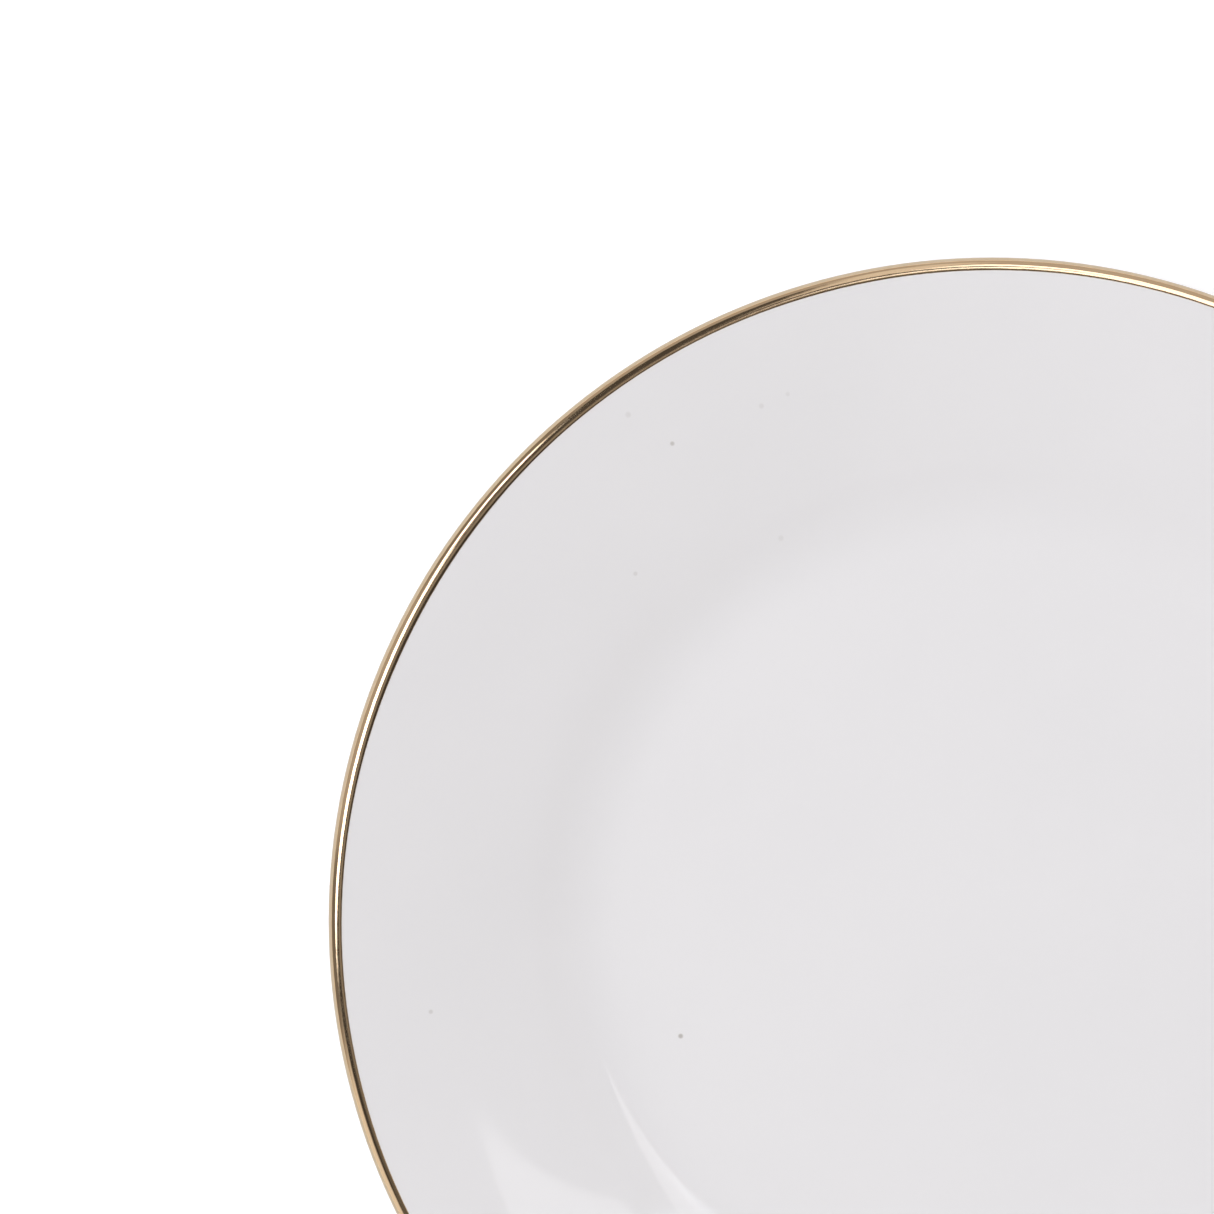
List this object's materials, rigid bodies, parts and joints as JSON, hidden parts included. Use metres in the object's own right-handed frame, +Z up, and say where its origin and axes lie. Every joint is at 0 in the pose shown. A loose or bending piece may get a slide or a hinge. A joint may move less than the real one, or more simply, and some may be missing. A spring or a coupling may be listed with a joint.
{
  "type": "dinner plate",
  "caption": "Round rimmed china dinner plate with a flat well, a wide sloping rim, clear glaze, a gold line over the lip and a bare foot ring.",
  "frame": {"origin": "on the plate's axis, in the plane of the foot's ground edge, where the plate rests on a table", "axes": "+Z up along the plate's axis of rotation, towards the side that food goes on; +X and +Y lie in the table's plane"},
  "size_m": [0.267, 0.267, 0.02],
  "materials": {
    "fired_china": "matte",
    "bare_foot": "matte",
    "clear_glaze": "gloss",
    "base_glaze": "gloss",
    "burnished_gold": "polished"
  },
  "bodies": {
    "root": {"china_body": "fired_china", "foot_ring": "bare_foot", "outer_glaze": "clear_glaze", "base_glaze": "base_glaze", "gold_rim_band": "burnished_gold"}
  },
  "joints": []
}
